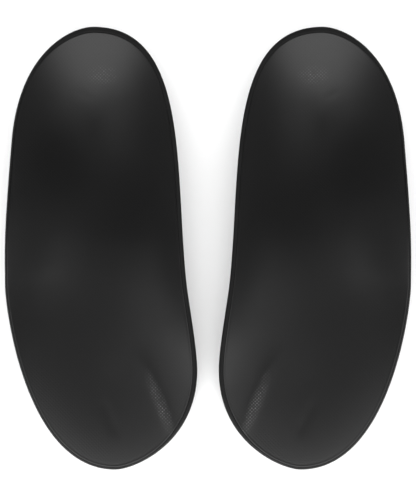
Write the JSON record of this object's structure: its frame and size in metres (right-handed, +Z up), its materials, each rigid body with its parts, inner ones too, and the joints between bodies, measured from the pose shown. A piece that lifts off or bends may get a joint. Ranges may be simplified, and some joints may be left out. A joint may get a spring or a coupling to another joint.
{
  "type": "skate footbed pair",
  "caption": "Left and right three-quarter-length contoured footbeds with deep heel cups, raised inner arches, woven top covers and posted undersides.",
  "frame": {"origin": "middle of the pair on the floor, half way along the footbeds and on the mirror plane between them", "axes": "+X from the left footbed to the right one, +Y toward the heels, +Z up"},
  "size_m": [0.1668, 0.182, 0.0276],
  "materials": {
    "woven_cover": "fine diagonal weave with a satin sheen, black",
    "cushion_foam": "matte closed-cell foam with a ground, bevelled edge, black",
    "heel_gel": "smooth soft elastomer, charcoal",
    "shell_plastic": "fine moulded grain, semi-matte black",
    "block_foam": "sanded closed-cell foam, dark grey",
    "grip_rubber": "matte ribbed rubber, charcoal",
    "suede_liner": "brushed synthetic suede, dark grey"
  },
  "bodies": {
    "left_footbed": {"left_top_cover": "woven_cover", "left_cushion_foam": "cushion_foam", "left_heel_pad": "heel_gel", "left_support_shell": "shell_plastic", "left_arch_filler": "block_foam", "left_rear_post": "block_foam", "left_heel_grip": "grip_rubber", "left_bottom_cover": "suede_liner"},
    "right_footbed": {"right_top_cover": "woven_cover", "right_cushion_foam": "cushion_foam", "right_heel_pad": "heel_gel", "right_support_shell": "shell_plastic", "right_arch_filler": "block_foam", "right_rear_post": "block_foam", "right_heel_grip": "grip_rubber", "right_bottom_cover": "suede_liner"}
  },
  "joints": [
    {"name": "right_footbed_lift", "type": "slide", "parent": "left_footbed", "child": "right_footbed", "axis": [0, 0, 1], "range_m": [0, 0.06]}
  ]
}
